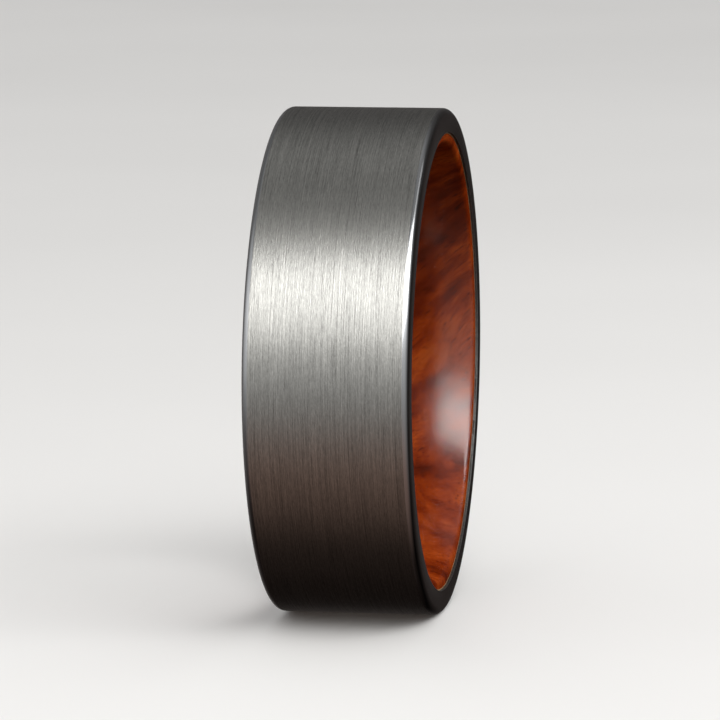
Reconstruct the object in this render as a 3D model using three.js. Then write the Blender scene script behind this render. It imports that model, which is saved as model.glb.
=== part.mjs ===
// A wood-lined wedding band: a brushed metal shell, a wooden sleeve glued into its bore, the film of
// glue between them, and a clear lacquer that seals the wood. Nothing on it moves.
//
// Units are millimetres. +Y runs along the finger hole and +Z is up, with the band standing on its
// round edge. The origin is the centre of the finger hole, midway between the two side faces.
import * as THREE from 'three';

// Driving dimensions. Every radius is measured to the middle of a facet. The bore is narrowest
// midway between the side faces, and its diameter is given there.
const OUTER_DIAMETER = 25.0;
const BORE_DIAMETER = 20.6;
const BAND_WIDTH = 8.0;
const METAL_WALL = 1.2;
const METAL_EDGE_ROUND = 0.35;
const GLUE_THICKNESS = 0.05;
const LACQUER_THICKNESS = 0.1;
const LINER_RECESS = 0.03;

// The finger hole is domed for comfort: one wide arc across the band, and a round at each side.
const DOME_RADIUS = 18.0;
const BORE_EDGE_ROUND = 0.4;

// How finely the round shapes are cut.
const FACETS_AROUND = 64;
const FACETS_PER_ROUND = 4;
const FACETS_PER_DOME = 8;

// Radii of the faces where one piece meets the next, from the outside in.
const outerRadius = OUTER_DIAMETER / 2;
const metalBore = outerRadius - METAL_WALL;
const woodOuter = metalBore - GLUE_THICKNESS;

// Half widths along the finger hole: the metal, the lacquered liner just inside it, and bare wood.
const metalHalf = BAND_WIDTH / 2;
const lacquerHalf = metalHalf - LINER_RECESS;
const woodHalf = lacquerHalf - LACQUER_THICKNESS;

// The bore's section: the dome's centre, then the centre of the round that meets the dome smoothly,
// and the angle in degrees at which they meet. The lacquer's skin and the wood share these centres.
const domeCentre = BORE_DIAMETER / 2 + DOME_RADIUS;
const edgeHalf = lacquerHalf - BORE_EDGE_ROUND;
const edgeToDome = DOME_RADIUS - BORE_EDGE_ROUND;
const edgeRadius = domeCentre - Math.sqrt(edgeToDome ** 2 - edgeHalf ** 2);
const domeEnd = THREE.MathUtils.radToDeg(Math.asin(edgeHalf / edgeToDome));

const facetAngle = (2 * Math.PI) / FACETS_AROUND;
const cornerScale = 1 / Math.cos(facetAngle / 2);

/** A point of a band's section: its distance from the finger axis and its place along the axis. */
function at(radius, y) {
  return new THREE.Vector2(radius, y);
}

/** Points round a section's circle between two angles in degrees: 0 faces out and 90 faces +Y. */
function arc(centre, radius, fromDegrees, toDegrees, steps) {
  const points = [];
  for (let step = 0; step <= steps; step += 1) {
    const degrees = fromDegrees + ((toDegrees - fromDegrees) * step) / steps;
    const angle = THREE.MathUtils.degToRad(degrees);
    points.push(at(centre.x + radius * Math.cos(angle), centre.y + radius * Math.sin(angle)));
  }
  return points;
}

/** The domed bore at a depth under the lacquer's skin, from its +Y end face to its -Y end face. */
function domedBore(depth) {
  const edge = BORE_EDGE_ROUND - depth;
  const start = 180 - domeEnd;
  const end = 180 + domeEnd;
  const dome = arc(at(domeCentre, 0), DOME_RADIUS - depth, start, end, FACETS_PER_DOME);
  return [
    ...arc(at(edgeRadius, edgeHalf), edge, 90, start, FACETS_PER_ROUND),
    ...dome.slice(1, -1),
    ...arc(at(edgeRadius, -edgeHalf), edge, end, 270, FACETS_PER_ROUND),
  ];
}

/** Turns a closed section, listed anticlockwise, round the finger axis into a named solid. */
function turned(name, section, material) {
  const corners = section.map((point) => at(point.x * cornerScale, point.y));
  corners.push(corners[0].clone());
  // The half-facet start leaves a flat facet at the bottom, where the band stands.
  const geometry = new THREE.LatheGeometry(corners, FACETS_AROUND, facetAngle / 2);
  const mesh = new THREE.Mesh(geometry, material);
  mesh.name = name;
  return mesh;
}

/** The hard metal shell: flat outside, polished rounds along both edges, flat side faces. */
function metalBand() {
  const roundRadius = outerRadius - METAL_EDGE_ROUND;
  const roundHalf = metalHalf - METAL_EDGE_ROUND;
  const section = [
    at(metalBore, -metalHalf),
    ...arc(at(roundRadius, -roundHalf), METAL_EDGE_ROUND, -90, 0, FACETS_PER_ROUND),
    ...arc(at(roundRadius, roundHalf), METAL_EDGE_ROUND, 0, 90, FACETS_PER_ROUND),
    at(metalBore, metalHalf),
  ];
  const brushedMetal = new THREE.MeshStandardMaterial({
    color: 0x96948e,
    roughness: 0.35,
    metalness: 1.0,
  });
  return turned('metal_band', section, brushedMetal);
}

/** The film of glue that holds the sleeve in the shell, as wide as the wood. */
function bondLine() {
  const section = [
    at(woodOuter, -woodHalf),
    at(metalBore, -woodHalf),
    at(metalBore, woodHalf),
    at(woodOuter, woodHalf),
  ];
  const curedGlue = new THREE.MeshStandardMaterial({
    color: 0xc9a878,
    roughness: 0.4,
    metalness: 0.0,
  });
  return turned('bond_line', section, curedGlue);
}

/** The wooden sleeve, its bore domed across the band. */
function woodLiner() {
  const section = [
    at(woodOuter, -woodHalf),
    at(woodOuter, woodHalf),
    ...domedBore(LACQUER_THICKNESS),
  ];
  const redWood = new THREE.MeshStandardMaterial({
    color: 0x8a3c16,
    roughness: 0.5,
    metalness: 0.0,
  });
  return turned('wood_liner', section, redWood);
}

/** The clear lacquer over the wood's domed bore and its end grain, out to the metal. */
function clearCoat() {
  const section = [
    at(metalBore, -lacquerHalf),
    at(metalBore, -woodHalf),
    at(woodOuter, -woodHalf),
    ...domedBore(LACQUER_THICKNESS).reverse(),
    at(woodOuter, woodHalf),
    at(metalBore, woodHalf),
    at(metalBore, lacquerHalf),
    ...domedBore(0),
  ];
  const lacquer = new THREE.MeshStandardMaterial({
    color: 0xf1e3cf,
    roughness: 0.08,
    metalness: 0.0,
    transparent: true,
    opacity: 0.2,
  });
  return turned('clear_coat', section, lacquer);
}

const weddingBand = new THREE.Group();
weddingBand.name = 'wedding_band';
weddingBand.add(metalBand(), bondLine(), woodLiner(), clearCoat());

export default weddingBand;
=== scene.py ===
"""Looks of the wood-lined wedding band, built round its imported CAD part. Blender 4.5, metres."""
import math

import bpy
from mathutils import Matrix, Vector


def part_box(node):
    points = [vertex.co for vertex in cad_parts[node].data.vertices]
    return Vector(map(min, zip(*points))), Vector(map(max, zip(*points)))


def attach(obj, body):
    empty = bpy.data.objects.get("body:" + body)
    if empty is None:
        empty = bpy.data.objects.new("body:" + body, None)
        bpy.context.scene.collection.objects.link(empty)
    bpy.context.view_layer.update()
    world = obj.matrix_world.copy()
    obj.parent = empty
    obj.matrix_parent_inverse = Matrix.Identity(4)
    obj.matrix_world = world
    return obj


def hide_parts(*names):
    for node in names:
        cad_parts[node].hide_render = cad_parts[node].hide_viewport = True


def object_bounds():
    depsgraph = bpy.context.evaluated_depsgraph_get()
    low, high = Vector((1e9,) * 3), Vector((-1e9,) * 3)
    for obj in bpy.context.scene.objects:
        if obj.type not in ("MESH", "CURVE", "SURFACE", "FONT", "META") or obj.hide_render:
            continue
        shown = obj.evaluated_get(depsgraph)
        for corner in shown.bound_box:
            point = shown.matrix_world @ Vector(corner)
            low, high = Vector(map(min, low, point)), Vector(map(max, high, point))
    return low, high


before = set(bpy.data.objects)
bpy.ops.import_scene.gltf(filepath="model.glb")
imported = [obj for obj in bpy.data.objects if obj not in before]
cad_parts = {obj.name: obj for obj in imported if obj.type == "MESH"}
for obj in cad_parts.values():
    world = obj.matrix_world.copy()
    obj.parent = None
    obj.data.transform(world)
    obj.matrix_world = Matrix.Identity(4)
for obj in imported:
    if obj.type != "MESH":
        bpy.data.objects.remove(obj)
cad_low, cad_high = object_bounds()

MM = 0.001
PER_MM = 1 / MM

# The band's sizes. The outside comes from the CAD shell, and the rest repeats the CAD's dimensions.
OUTER_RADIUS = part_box("metal_band")[1].x
METAL_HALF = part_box("metal_band")[1].y
METAL_WALL = 1.2 * MM
METAL_EDGE_ROUND = 0.35 * MM
GLUE_THICKNESS = 0.05 * MM
LACQUER_THICKNESS = 0.1 * MM
LINER_RECESS = 0.03 * MM
BORE_RADIUS = 10.3 * MM
DOME_RADIUS = 18.0 * MM
BORE_EDGE_ROUND = 0.4 * MM

# Finer than the CAD: the worn corner at the shell's bore, and a gap that keeps two skins apart.
CORNER_BREAK = 0.02 * MM
SKIN_GAP = 0.002 * MM

METAL_BORE = OUTER_RADIUS - METAL_WALL
WOOD_OUTER = METAL_BORE - GLUE_THICKNESS
LACQUER_HALF = METAL_HALF - LINER_RECESS
WOOD_HALF = LACQUER_HALF - LACQUER_THICKNESS

# The bore's section: the dome's centre, the centre of the round beside it, and where they meet.
DOME_CENTRE = BORE_RADIUS + DOME_RADIUS
EDGE_HALF = LACQUER_HALF - BORE_EDGE_ROUND
EDGE_TO_DOME = DOME_RADIUS - BORE_EDGE_ROUND
EDGE_RADIUS = DOME_CENTRE - math.sqrt(EDGE_TO_DOME**2 - EDGE_HALF**2)
DOME_END = math.degrees(math.asin(EDGE_HALF / EDGE_TO_DOME))

# How finely the sections and the turns are cut.
SEGMENTS = 384
ROUND_STEPS = 12
CORNER_STEPS = 3
DOME_STEPS = 48
FLAT_STEPS = 32
SHARP_ANGLE = math.radians(32)


# ---------------------------------------------------------------- geometry


def arc(radius, y, reach, start, end, steps=ROUND_STEPS):
    """Section points round a circle, between two angles in degrees: 0 faces out, 90 faces +Y."""
    points = []
    for step in range(steps + 1):
        angle = math.radians(start + (end - start) * step / steps)
        points.append((radius + reach * math.cos(angle), y + reach * math.sin(angle)))
    return points


def along(first, last, steps):
    """Points evenly between two section points, without the ends."""
    points = []
    for step in range(1, steps):
        share = step / steps
        radius = first[0] + (last[0] - first[0]) * share
        points.append((radius, first[1] + (last[1] - first[1]) * share))
    return points


def turned(name, section, node, material):
    """Turns a closed section (radius, y), listed anticlockwise, round the finger axis."""
    count = len(section)
    vertices = []
    faces = []
    for i in range(SEGMENTS):
        angle = 2 * math.pi * i / SEGMENTS
        here, there = i * count, (i + 1) % SEGMENTS * count
        for j, (radius, y) in enumerate(section):
            k = (j + 1) % count
            vertices.append((radius * math.sin(angle), y, radius * math.cos(angle)))
            faces.append((here + j, there + j, there + k, here + k))
    mesh = bpy.data.meshes.new(name)
    mesh.from_pydata(vertices, [], faces)
    mesh.update()
    mesh.shade_smooth()
    mesh.set_sharp_from_angle(angle=SHARP_ANGLE)
    mesh.materials.append(material)
    piece = bpy.data.objects.new(name, mesh)
    bpy.context.scene.collection.objects.link(piece)
    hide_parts(node)
    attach(piece, "root")
    return piece


def domed_bore(depth):
    """The domed bore at a depth under the lacquer's skin, from its +Y end face to its -Y one."""
    edge = BORE_EDGE_ROUND - depth
    start, end = 180 - DOME_END, 180 + DOME_END
    dome = arc(DOME_CENTRE, 0, DOME_RADIUS - depth, start, end, DOME_STEPS)
    upper = arc(EDGE_RADIUS, EDGE_HALF, edge, 90, start)
    lower = arc(EDGE_RADIUS, -EDGE_HALF, edge, end, 270)
    return upper + dome[1:-1] + lower


def metal_section():
    """The shell: a round along each outer edge, and a worn corner at each end of its bore."""
    edge = METAL_EDGE_ROUND
    lower = arc(OUTER_RADIUS - edge, -(METAL_HALF - edge), edge, -90, 0)
    upper = arc(OUTER_RADIUS - edge, METAL_HALF - edge, edge, 0, 90)
    bore = METAL_BORE + CORNER_BREAK
    end = METAL_HALF - CORNER_BREAK
    inner_upper = arc(bore, end, CORNER_BREAK, 90, 180, CORNER_STEPS)
    inner_lower = arc(bore, -end, CORNER_BREAK, 180, 270, CORNER_STEPS)
    return inner_lower + lower + along(lower[-1], upper[0], FLAT_STEPS) + upper + inner_upper


def glue_section():
    """The film of glue, as wide as the wood."""
    return [
        (WOOD_OUTER, -WOOD_HALF),
        (METAL_BORE, -WOOD_HALF),
        (METAL_BORE, WOOD_HALF),
        (WOOD_OUTER, WOOD_HALF),
    ]


def wood_section():
    """The sleeve, a skin's gap inside the lacquer that covers it."""
    half = WOOD_HALF - SKIN_GAP
    return [(WOOD_OUTER, -half), (WOOD_OUTER, half)] + domed_bore(LACQUER_THICKNESS + SKIN_GAP)


def lacquer_section():
    """The lacquer, over the wood's bore and end grain and out to the metal."""
    return (
        [(METAL_BORE, -LACQUER_HALF), (METAL_BORE, -WOOD_HALF), (WOOD_OUTER, -WOOD_HALF)]
        + domed_bore(LACQUER_THICKNESS)[::-1]
        + [(WOOD_OUTER, WOOD_HALF), (METAL_BORE, WOOD_HALF), (METAL_BORE, LACQUER_HALF)]
        + domed_bore(0)
    )


# ---------------------------------------------------------------- materials


def fill_ramp(ramp, stops):
    """Gives a colour ramp its stops, each a (position, colour) pair."""
    while len(ramp.elements) < len(stops):
        ramp.elements.new(0.5)
    for element, (position, colour) in zip(ramp.elements, stops):
        element.position = position
        element.color = (*colour, 1)


class Tree:
    """A material's nodes, with short calls to add and join them."""

    def __init__(self, name):
        self.material = bpy.data.materials.new(name)
        self.material.use_nodes = True
        self.nodes = self.material.node_tree.nodes
        self.links = self.material.node_tree.links
        self.nodes.clear()
        self.output = self.nodes.new("ShaderNodeOutputMaterial")

    def put(self, target, value):
        if isinstance(value, bpy.types.NodeSocket):
            self.links.new(value, target)
        elif value is not None:
            target.default_value = value

    def coordinates(self):
        return self.nodes.new("ShaderNodeTexCoord").outputs["Object"]

    def mapping(self, vector, scale=(1, 1, 1), rotation=(0, 0, 0), location=(0, 0, 0)):
        node = self.nodes.new("ShaderNodeMapping")
        self.put(node.inputs["Vector"], vector)
        node.inputs["Scale"].default_value = scale
        node.inputs["Rotation"].default_value = [math.radians(angle) for angle in rotation]
        node.inputs["Location"].default_value = location
        return node.outputs["Vector"]

    def noise(self, vector, detail=2.0, roughness=0.5, scale=1.0, colour=False):
        node = self.nodes.new("ShaderNodeTexNoise")
        self.put(node.inputs["Vector"], vector)
        node.inputs["Scale"].default_value = scale
        node.inputs["Detail"].default_value = detail
        node.inputs["Roughness"].default_value = roughness
        return node.outputs["Color" if colour else "Fac"]

    def streaks(self, place, round_scale, across_scale, detail, roughness, shift=0.0):
        """Noise drawn out round the band: cycles per millimetre round it and across it."""
        scale = (round_scale * PER_MM, across_scale * PER_MM, round_scale * PER_MM)
        return self.noise(self.mapping(place, scale, location=(shift,) * 3), detail, roughness)

    def math(self, operation, a, b=None):
        node = self.nodes.new("ShaderNodeMath")
        node.operation = operation
        self.put(node.inputs[0], a)
        self.put(node.inputs[1], b)
        return node.outputs[0]

    def total(self, *parts):
        """The sum of (value, weight) pairs."""
        result = None
        for value, weight in parts:
            part = self.math("MULTIPLY", value, weight)
            result = part if result is None else self.math("ADD", result, part)
        return result

    def vector(self, operation, a, b):
        node = self.nodes.new("ShaderNodeVectorMath")
        node.operation = operation
        self.put(node.inputs[0], a)
        self.put(node.inputs[1], b)
        return node.outputs[0]

    def ramp(self, factor, stops):
        node = self.nodes.new("ShaderNodeValToRGB")
        fill_ramp(node.color_ramp, stops)
        self.put(node.inputs["Fac"], factor)
        return node.outputs["Color"]

    def range(self, value, low, high, to_low, to_high):
        node = self.nodes.new("ShaderNodeMapRange")
        self.put(node.inputs["Value"], value)
        node.inputs["From Min"].default_value = low
        node.inputs["From Max"].default_value = high
        node.inputs["To Min"].default_value = to_low
        node.inputs["To Max"].default_value = to_high
        return node.outputs["Result"]

    def mix(self, factor, a, b):
        node = self.nodes.new("ShaderNodeMix")
        node.data_type = "RGBA"
        self.put(node.inputs["Factor"], factor)
        self.put(node.inputs["A"], a)
        self.put(node.inputs["B"], b if isinstance(b, bpy.types.NodeSocket) else (*b, 1))
        return node.outputs["Result"]

    def bump(self, height, strength, distance):
        node = self.nodes.new("ShaderNodeBump")
        node.inputs["Strength"].default_value = strength
        node.inputs["Distance"].default_value = distance
        self.put(node.inputs["Height"], height)
        return node.outputs["Normal"]

    def round_tangent(self):
        node = self.nodes.new("ShaderNodeTangent")
        node.direction_type = "RADIAL"
        node.axis = "Y"
        return node.outputs["Tangent"]

    def principled(self, **inputs):
        node = self.nodes.new("ShaderNodeBsdfPrincipled")
        for name, value in inputs.items():
            self.put(node.inputs[name.replace("_", " ")], value)
        self.links.new(node.outputs["BSDF"], self.output.inputs["Surface"])
        return self.material


def brushed_metal():
    """Hard grey metal, brushed round the band: hairlines a few hundredths of a millimetre wide."""
    tree = Tree("brushed_tungsten")
    place = tree.coordinates()
    short = tree.streaks(place, 2.6, 30, 2, 0.6)
    grit = tree.streaks(place, 6, 30, 1, 0.6, 4.0)
    long = tree.streaks(place, 0.22, 26, 2, 0.6, 9.0)
    broad = tree.streaks(place, 0.10, 1.1, 2, 0.5, 2.0)
    scratch = tree.streaks(place, 0.30, 16, 1, 0.4, 5.0)
    deep = tree.range(scratch, 0.28, 0.38, 1.0, 0.0)

    tone = tree.total((short, 0.38), (grit, 0.18), (long, 0.44))
    colour = tree.ramp(
        tone,
        [(0.36, (0.24, 0.237, 0.223)), (0.50, (0.40, 0.395, 0.372)), (0.64, (0.56, 0.553, 0.521))],
    )
    colour = tree.mix(tree.range(broad, 0.35, 0.65, 0.0, 0.16), colour, (0.30, 0.296, 0.280))
    colour = tree.mix(tree.math("MULTIPLY", deep, 0.45), colour, (0.17, 0.166, 0.156))
    height = tree.total((short, 0.45), (grit, 0.30), (long, 0.40), (deep, -0.18))
    return tree.principled(
        Base_Color=colour,
        Metallic=1.0,
        Roughness=tree.range(tone, 0.36, 0.64, 0.40, 0.31),
        Normal=tree.bump(height, 1.0, 0.016 * MM),
        Anisotropic=0.82,
        Anisotropic_Rotation=0.25,
        Tangent=tree.round_tangent(),
    )


def polished_metal():
    """The same metal, polished: rounds and side faces, with faint marks left by the wheel."""
    tree = Tree("polished_tungsten")
    place = tree.coordinates()
    lines = tree.streaks(place, 0.5, 14, 2, 0.5)
    smudge = tree.noise(place, 3, 0.55, 0.35 * PER_MM)
    return tree.principled(
        Base_Color=tree.ramp(lines, [(0.3, (0.405, 0.412, 0.422)), (0.7, (0.460, 0.468, 0.478))]),
        Metallic=1.0,
        Roughness=tree.total((tree.range(smudge, 0.35, 0.7, 0.11, 0.18), 1.0), (lines, 0.03)),
        Normal=tree.bump(lines, 0.12, 0.004 * MM),
    )


def ground_metal():
    """The same metal, coarsely ground in the bore, where a hair of it shows past the sleeve."""
    tree = Tree("ground_tungsten")
    grit = tree.noise(tree.coordinates(), 3, 0.6, 12 * PER_MM)
    return tree.principled(
        Base_Color=tree.ramp(grit, [(0.3, (0.10, 0.099, 0.094)), (0.7, (0.18, 0.178, 0.170))]),
        Metallic=1.0,
        Roughness=tree.range(grit, 0.3, 0.7, 0.65, 0.5),
        Normal=tree.bump(grit, 0.4, 0.01 * MM),
    )


def cured_glue():
    """An amber film of glue, a little cloudy."""
    tree = Tree("amber_glue")
    cloud = tree.noise(tree.coordinates(), 3, 0.6, 0.9 * PER_MM)
    return tree.principled(
        Base_Color=tree.ramp(cloud, [(0.3, (0.50, 0.31, 0.13)), (0.7, (0.66, 0.47, 0.26))]),
        Roughness=tree.range(cloud, 0.3, 0.7, 0.3, 0.45),
        Normal=tree.bump(cloud, 0.2, 0.01 * MM),
    )


# The block that the sleeve is turned from: the grain's direction, and the growth layers' normal.
GRAIN = Vector((0.20, 0.85, 0.50)).normalized()
LAYERS = GRAIN.cross(Vector((0.50, 0.40, -0.75))).normalized()
BLOCK_SHIFT = (9.4, -29.9, -39.9)


def figured_wood():
    """Figured red-brown hardwood, turned from a block whose grain runs aslant through the band."""
    tree = Tree("figured_red_wood")
    # In the block, X runs along the grain and Z across the growth layers.
    turn = Matrix((GRAIN, LAYERS.cross(GRAIN), LAYERS)).to_euler()
    angles = [math.degrees(angle) for angle in turn]
    block = tree.mapping(tree.coordinates(), (PER_MM,) * 3, angles, BLOCK_SHIFT)
    warp = tree.noise(block, 2, 0.5, 0.12, colour=True)
    sway = tree.vector("MULTIPLY", tree.vector("SUBTRACT", warp, (0.5,) * 3), (3.0,) * 3)
    grain = tree.vector("ADD", block, sway)
    figure = tree.noise(tree.mapping(grain, (0.12, 0.35, 0.45)), 3, 0.55)
    layers = tree.noise(tree.mapping(grain, (0.10, 0.5, 1.1)), 3, 0.6)
    mottle = tree.noise(tree.mapping(grain, (0.6, 1.0, 1.0)), 3, 0.6)
    fibre = tree.noise(tree.mapping(grain, (0.6, 12, 12)), 3, 0.65)
    pore_noise = tree.noise(tree.mapping(grain, (0.9, 9, 9), location=(2, 5, 9)), 1, 0.5)
    pores = tree.range(pore_noise, 0.31, 0.37, 1.0, 0.0)

    tone = tree.total((figure, 0.46), (layers, 0.28), (mottle, 0.26))
    colour = tree.ramp(
        tone,
        [
            (0.36, (0.050, 0.0045, 0.0005)),
            (0.44, (0.140, 0.0140, 0.0010)),
            (0.50, (0.250, 0.0300, 0.0022)),
            (0.56, (0.335, 0.0500, 0.0042)),
            (0.66, (0.430, 0.0800, 0.0095)),
        ],
    )
    colour = tree.mix(tree.range(fibre, 0.35, 0.65, 0.0, 0.50), colour, (0.10, 0.010, 0.001))
    colour = tree.mix(tree.math("MULTIPLY", pores, 0.6), colour, (0.02, 0.003, 0.0005))
    return tree.principled(
        Base_Color=colour,
        Roughness=tree.range(fibre, 0.3, 0.7, 0.5, 0.6),
        Specular_IOR_Level=0.0,
        Normal=tree.bump(tree.total((fibre, 0.5), (pores, -0.6)), 0.25, 0.01 * MM),
    )


def clear_lacquer():
    """Clear lacquer: nearly see-through, with a faint soft mirror that stands in for its gloss."""
    tree = Tree("clear_lacquer")
    level = tree.noise(tree.coordinates(), 2, 0.5, 0.28 * PER_MM)
    return tree.principled(
        Base_Color=(1.0, 0.99, 0.97, 1),
        Metallic=1.0,
        Roughness=tree.range(level, 0.3, 0.7, 0.16, 0.20),
        Alpha=0.037,
        Normal=tree.bump(level, 0.15, 0.05 * MM),
    )


# ---------------------------------------------------------------- the pieces

metal = turned("metal_band_turned", metal_section(), "metal_band", brushed_metal())
turned("bond_line_turned", glue_section(), "bond_line", cured_glue())
turned("wood_liner_turned", wood_section(), "wood_liner", figured_wood())
turned("clear_coat_turned", lacquer_section(), "clear_coat", clear_lacquer())

# The shell is brushed on its flat outside, ground in its bore, and polished everywhere else. The
# polish covers most of each round, and the brushing stops just past the round's start.
metal.data.materials.append(polished_metal())
metal.data.materials.append(ground_metal())
BRUSHED, POLISHED, GROUND = 0, 1, 2
OUTSIDE_DEPTH = 0.02 * MM
POLISHED_SHARE = 0.93
BRUSHED_HALF = METAL_HALF - METAL_EDGE_ROUND * POLISHED_SHARE
for face in metal.data.polygons:
    radius = math.hypot(face.center.x, face.center.z)
    face.material_index = POLISHED
    if radius > OUTER_RADIUS - OUTSIDE_DEPTH and abs(face.center.y) < BRUSHED_HALF:
        face.material_index = BRUSHED
    if radius < METAL_BORE + CORNER_BREAK:
        face.material_index = GROUND

# ---------------------------------------------------------------- floor, light and camera

FLOOR_HALF = 6.0
FLOOR_CLOUDS = 9


def pale_floor():
    """A pale matt floor, faintly clouded."""
    tree = Tree("pale_floor")
    cloud = tree.noise(tree.coordinates(), 3, 0.5, FLOOR_CLOUDS)
    return tree.principled(
        Base_Color=tree.ramp(cloud, [(0.3, (0.73, 0.72, 0.705)), (0.7, (0.77, 0.76, 0.745))]),
        Roughness=0.8,
        Specular_IOR_Level=0.2,
    )


floor_mesh = bpy.data.meshes.new("floor")
corners = [(-1, -1), (1, -1), (1, 1), (-1, 1)]
floor_points = [(x * FLOOR_HALF, y * FLOOR_HALF, cad_low.z) for x, y in corners]
floor_mesh.from_pydata(floor_points, [], [(0, 1, 2, 3)])
floor_mesh.materials.append(pale_floor())
floor = bpy.data.objects.new("floor", floor_mesh)
bpy.context.scene.collection.objects.link(floor)
# The photo's table is dark, so the pale floor neither shows in the band nor lights it from below.
floor.visible_glossy = False
floor.visible_diffuse = False


def direction(azimuth, elevation):
    """The unit vector towards a place seen from the band: azimuth 90 is +X and 180 is +Y."""
    around, up = math.radians(azimuth), math.radians(elevation)
    level = math.cos(up)
    return Vector((math.sin(around) * level, -math.cos(around) * level, math.sin(up)))


def softbox(name, azimuth, elevation, distance, width, height, radiance):
    """A rectangular light aimed at the band. Width is round the band and height is up and down."""
    data = bpy.data.lights.new(name, "AREA")
    data.shape = "RECTANGLE"
    data.size, data.size_y = width, height
    data.energy = radiance * math.pi * width * height
    light = bpy.data.objects.new(name, data)
    back = direction(azimuth, elevation)
    light.location = back * distance
    light.rotation_mode = "QUATERNION"
    light.rotation_quaternion = back.to_track_quat("Z", "Y")
    bpy.context.scene.collection.objects.link(light)


# Name, azimuth, elevation, distance, width, height and radiance. The key is a bright core in a
# dimmer surround, so that its edges are soft in the lacquer.
softbox("key", 131, 39, 0.40, 0.62, 0.30, 1.4)
softbox("key_core", 133, 42, 0.39, 0.44, 0.18, 2.9)
softbox("high_right", 198, 45, 0.45, 0.26, 0.12, 0.55)


def warm(value, warmth=0.0):
    """A grey that turns brown as its warmth rises from 0 to 1."""
    return (value, value * (1 - 0.75 * warmth), value * (1 - warmth))


# What the band reflects, by elevation in degrees: bright in front of the band and to the left of
# there, dim at its -Y side, and dark behind it.
FRONT_AZIMUTH = 112
FRONT_REACH = (-0.1, 1.0)
FRONT_GLOW = [
    (-90, warm(0.03, 0.46)),
    (-78, warm(0.26, 0.46)),
    (-64, warm(0.34, 0.46)),
    (-51, warm(0.31, 0.46)),
    (-39, warm(0.34, 0.43)),
    (-27, warm(0.36, 0.26)),
    (-16, warm(0.41, 0.05)),
    (-4, warm(0.54)),
    (8, warm(0.83)),
    (14, warm(1.28)),
    (24, warm(1.60)),
    (42, warm(1.12)),
    (54, warm(0.52)),
    (64, warm(0.14)),
    (76, warm(0.06)),
    (90, warm(0.12)),
]
SIDE_AZIMUTH = 335
SIDE_REACH = (0.2, 1.0)
SIDE_GLOW = [
    (-90, warm(0.02, 0.4)),
    (-40, warm(0.05, 0.3)),
    (-10, warm(0.20, 0.1)),
    (25, warm(0.19)),
    (45, warm(0.19)),
    (75, warm(0.22)),
    (90, warm(0.20)),
]
LEFT_AZIMUTH = 45
LEFT_REACH = (0.35, 1.0)
LEFT_GLOW = [
    (-90, warm(0.03, 0.4)),
    (-45, warm(0.05, 0.35)),
    (-20, warm(0.12, 0.1)),
    (-8, warm(0.38)),
    (0, warm(0.68)),
    (14, warm(0.95)),
    (25, warm(1.20)),
    (45, warm(1.15)),
    (60, warm(0.25)),
    (75, warm(0.12)),
    (90, warm(0.20)),
]
REAR_GLOW = [
    (-90, warm(0.035, 0.4)),
    (-67, warm(0.014, 0.4)),
    (-39, warm(0.001, 0.3)),
    (-8, warm(0.025, 0.3)),
    (15, warm(0.030, 0.15)),
    (34, warm(0.080, 0.05)),
    (47, warm(0.200)),
    (68, warm(0.385)),
    (90, warm(0.210)),
]
# What lights the floor and the wood, and what the camera sees past the floor.
ROOM_GLOW = [(-90, warm(0.10)), (-3, warm(0.12)), (0, warm(0.74)), (90, warm(0.72))]


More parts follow.
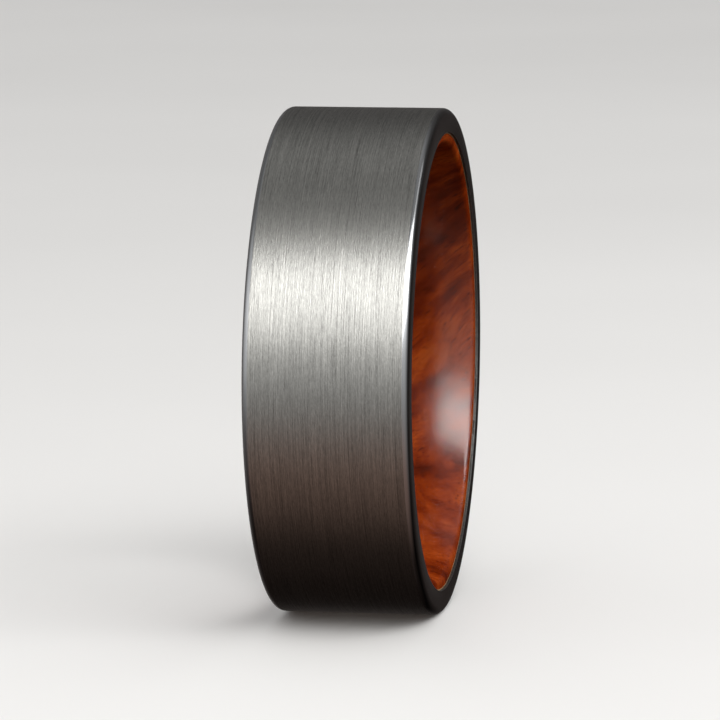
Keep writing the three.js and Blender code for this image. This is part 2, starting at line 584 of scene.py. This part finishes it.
def studio_world():
    """A pale room that lights the scene, with separate glows for what the band reflects."""
    world = bpy.data.worlds.new("studio")
    world.use_nodes = True
    nodes, links = world.node_tree.nodes, world.node_tree.links
    nodes.clear()
    where = nodes.new("ShaderNodeTexCoord").outputs["Generated"]
    split = nodes.new("ShaderNodeSeparateXYZ")
    links.new(where, split.inputs[0])
    height = nodes.new("ShaderNodeMapRange")
    height.inputs["From Min"].default_value = -1
    links.new(split.outputs["Z"], height.inputs["Value"])

    def height_share(elevation):
        return (math.sin(math.radians(elevation)) + 1) / 2

    def glow(stops):
        """A colour by elevation, from a list of (degrees, colour) pairs."""
        node = nodes.new("ShaderNodeValToRGB")
        fill_ramp(node.color_ramp, [(height_share(degrees), colour) for degrees, colour in stops])
        links.new(height.outputs["Result"], node.inputs["Fac"])
        return node.outputs["Color"]

    def blend(share, a, b):
        node = nodes.new("ShaderNodeMix")
        node.data_type = "RGBA"
        links.new(share, node.inputs["Factor"])
        links.new(a, node.inputs["A"])
        links.new(b, node.inputs["B"])
        return node.outputs["Result"]

    def facing(azimuth, reach):
        """How much a direction faces an azimuth, from 0 to 1."""
        dot = nodes.new("ShaderNodeVectorMath")
        dot.operation = "DOT_PRODUCT"
        dot.inputs[1].default_value = direction(azimuth, 0)
        links.new(where, dot.inputs[0])
        share = nodes.new("ShaderNodeMapRange")
        share.interpolation_type = "SMOOTHSTEP"
        share.inputs["From Min"].default_value = reach[0]
        share.inputs["From Max"].default_value = reach[1]
        links.new(dot.outputs["Value"], share.inputs["Value"])
        return share.outputs["Result"]

    reflected = blend(facing(SIDE_AZIMUTH, SIDE_REACH), glow(REAR_GLOW), glow(SIDE_GLOW))
    reflected = blend(facing(LEFT_AZIMUTH, LEFT_REACH), reflected, glow(LEFT_GLOW))
    reflected = blend(facing(FRONT_AZIMUTH, FRONT_REACH), reflected, glow(FRONT_GLOW))
    ray = nodes.new("ShaderNodeLightPath")
    seen = blend(ray.outputs["Is Glossy Ray"], glow(ROOM_GLOW), reflected)
    background = nodes.new("ShaderNodeBackground")
    links.new(seen, background.inputs["Color"])
    output = nodes.new("ShaderNodeOutputWorld")
    links.new(background.outputs[0], output.inputs[0])
    bpy.context.scene.world = world


studio_world()

CAMERA_AZIMUTH = 99.3
CAMERA_ELEVATION = 8.0
CAMERA_DISTANCE = 0.250
CAMERA_LENS = 252.6
CAMERA_ROLL = 0.2
AIM_LEFT = 0.31 * MM
SENSOR_WIDTH = 36
CLIP_START = 0.01
CLIP_END = 50

camera_data = bpy.data.cameras.new("camera")
camera_data.lens = CAMERA_LENS
camera_data.sensor_width = SENSOR_WIDTH
camera_data.clip_start = CLIP_START
camera_data.clip_end = CLIP_END
camera = bpy.data.objects.new("camera", camera_data)
bpy.context.scene.collection.objects.link(camera)
back = direction(CAMERA_AZIMUTH, CAMERA_ELEVATION)
roll = Matrix.Rotation(-math.radians(CAMERA_ROLL), 4, "Z")
turn = back.to_track_quat("Z", "Y").to_matrix().to_4x4() @ roll
right = turn.to_3x3() @ Vector((1, 0, 0))
camera.matrix_world = Matrix.Translation(back * CAMERA_DISTANCE - right * AIM_LEFT) @ turn
bpy.context.scene.camera = camera
bpy.context.scene.view_settings.view_transform = "Standard"
